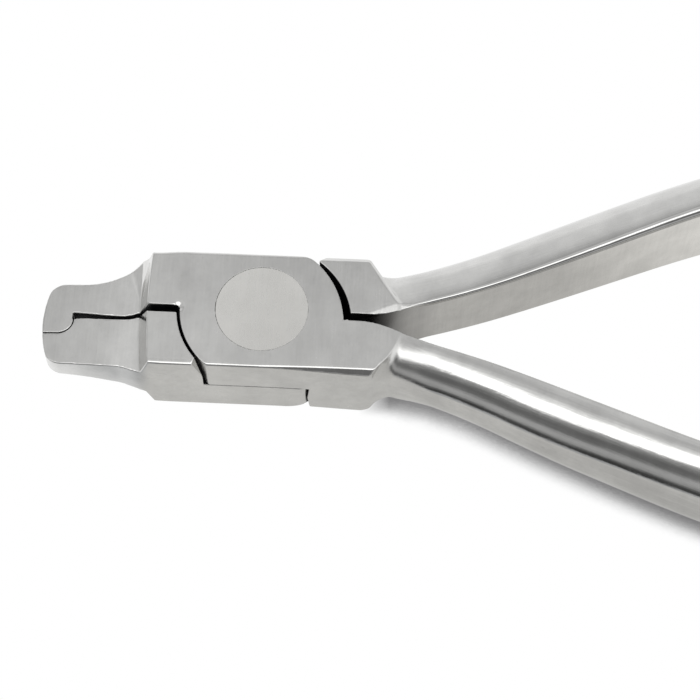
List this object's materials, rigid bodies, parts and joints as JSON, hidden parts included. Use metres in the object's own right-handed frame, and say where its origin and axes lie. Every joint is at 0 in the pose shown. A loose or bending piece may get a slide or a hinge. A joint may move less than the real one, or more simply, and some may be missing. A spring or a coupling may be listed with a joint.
{
  "type": "crimping pliers",
  "caption": "Steel lap-joint pliers with thin stepped crimping jaws, a flush disc-headed pivot rivet and bowed D-section handles.",
  "frame": {"origin": "on the pivot axis, in the plane of the head's back face", "axes": "+Z along the pivot axis, up out of the face that shows the rivet's disc; +X from the pivot along the centre line to the handles, so the jaws point along -X"},
  "size_m": [0.1354, 0.0552, 0.0106],
  "materials": {
    "forged_steel": "satin",
    "rivet_steel": "satin, brushed across"
  },
  "bodies": {
    "lower": {"lower_half": "forged_steel", "pivot_rivet": "rivet_steel"},
    "upper": {"upper_half": "forged_steel"}
  },
  "joints": [
    {"name": "pivot_hinge", "type": "hinge", "parent": "lower", "child": "upper", "pos_m": [0, 0, 0.0044], "axis": [0, 0, -1], "range_deg": [0, 70]}
  ]
}
